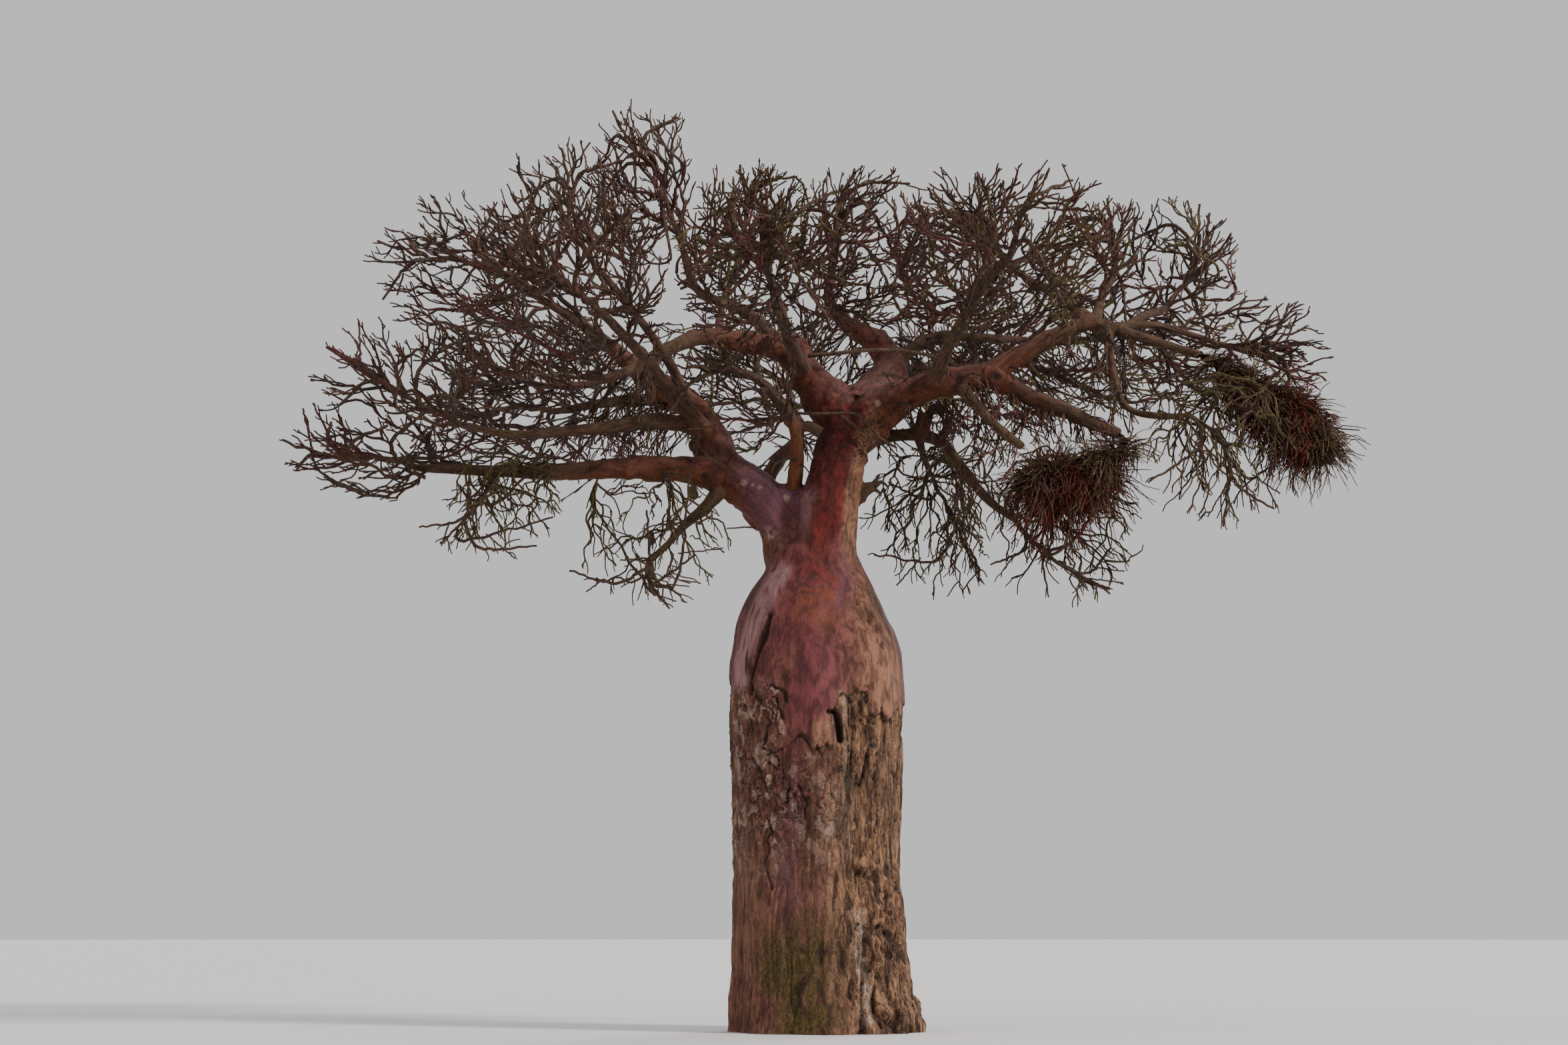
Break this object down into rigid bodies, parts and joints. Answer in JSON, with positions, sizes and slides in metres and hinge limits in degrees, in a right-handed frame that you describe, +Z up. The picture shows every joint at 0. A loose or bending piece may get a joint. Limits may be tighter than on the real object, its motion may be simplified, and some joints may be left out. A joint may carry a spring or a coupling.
{
  "type": "bare baobab tree",
  "caption": "Bare baobab in the dry season: bottle-shaped trunk forking low into heavy stems, a flat wide crown of leafless twigs and old stick nests on the right side.",
  "frame": {"origin": "middle of the flat cut under the trunk, at ground level", "axes": "+Z up, +X to the right as seen from the front, where the two nests hang, +Y away to the back"},
  "size_m": [15.9555, 12.5344, 14.6296],
  "materials": {
    "bark": "matt bark, rose brown with grey and tan flakes",
    "twig_bark": "matt dark brown",
    "nest_sticks": "matt dry sticks and grass"
  },
  "bodies": {
    "root": {"trunk": "bark", "stem_left": "bark", "stem_right": "bark", "stem_middle": "bark", "bough_left_low": "bark", "spur_left_low": "bark", "bough_left_rising": "bark", "fork_left_rising": "bark", "bough_left_level": "bark", "bough_left_hanging": "bark", "bough_left_rear": "bark", "bough_left_front": "bark", "bough_rear_centre": "bark", "bough_fork": "bark", "bough_fork_left": "bark", "shoot_fork": "bark", "leader_top": "bark", "bough_front_centre": "bark", "bough_upright": "bark", "branch_upright_right": "bark", "bough_rear_right": "bark", "bough_right_long": "bark", "fork_right_upper": "bark", "bough_right_low": "bark", "stub_right": "bark", "bough_right_inner": "bark", "spur_right_inner": "bark", "bough_right_return": "bark", "fork_right_return": "bark", "bough_right_dropping": "bark", "bough_right_rising": "bark", "bough_right_front": "bark", "twigs_left_low": "twig_bark", "twigs_left_level": "twig_bark", "twigs_left_high": "twig_bark", "twigs_left_upper": "twig_bark", "twigs_top": "twig_bark", "twigs_crown_left": "twig_bark", "twigs_crown_middle": "twig_bark", "twigs_crown_right": "twig_bark", "twigs_right_upper": "twig_bark", "twigs_right_high": "twig_bark", "twigs_right_end": "twig_bark", "twigs_right_hanging": "twig_bark", "twigs_under_nest": "twig_bark", "twigs_inner_hanging": "twig_bark", "twigs_left_hanging": "twig_bark", "twigs_stub_hanging": "twig_bark", "twigs_left_inner": "twig_bark", "twigs_rear_left": "twig_bark", "twigs_rear_middle": "twig_bark", "twigs_rear_right": "twig_bark", "twigs_far_right": "twig_bark", "twigs_front_left": "twig_bark", "twigs_front_middle": "twig_bark", "twigs_front_right": "twig_bark", "twigs_middle": "twig_bark", "nest_low": "nest_sticks", "nest_outer": "nest_sticks"}
  },
  "joints": []
}
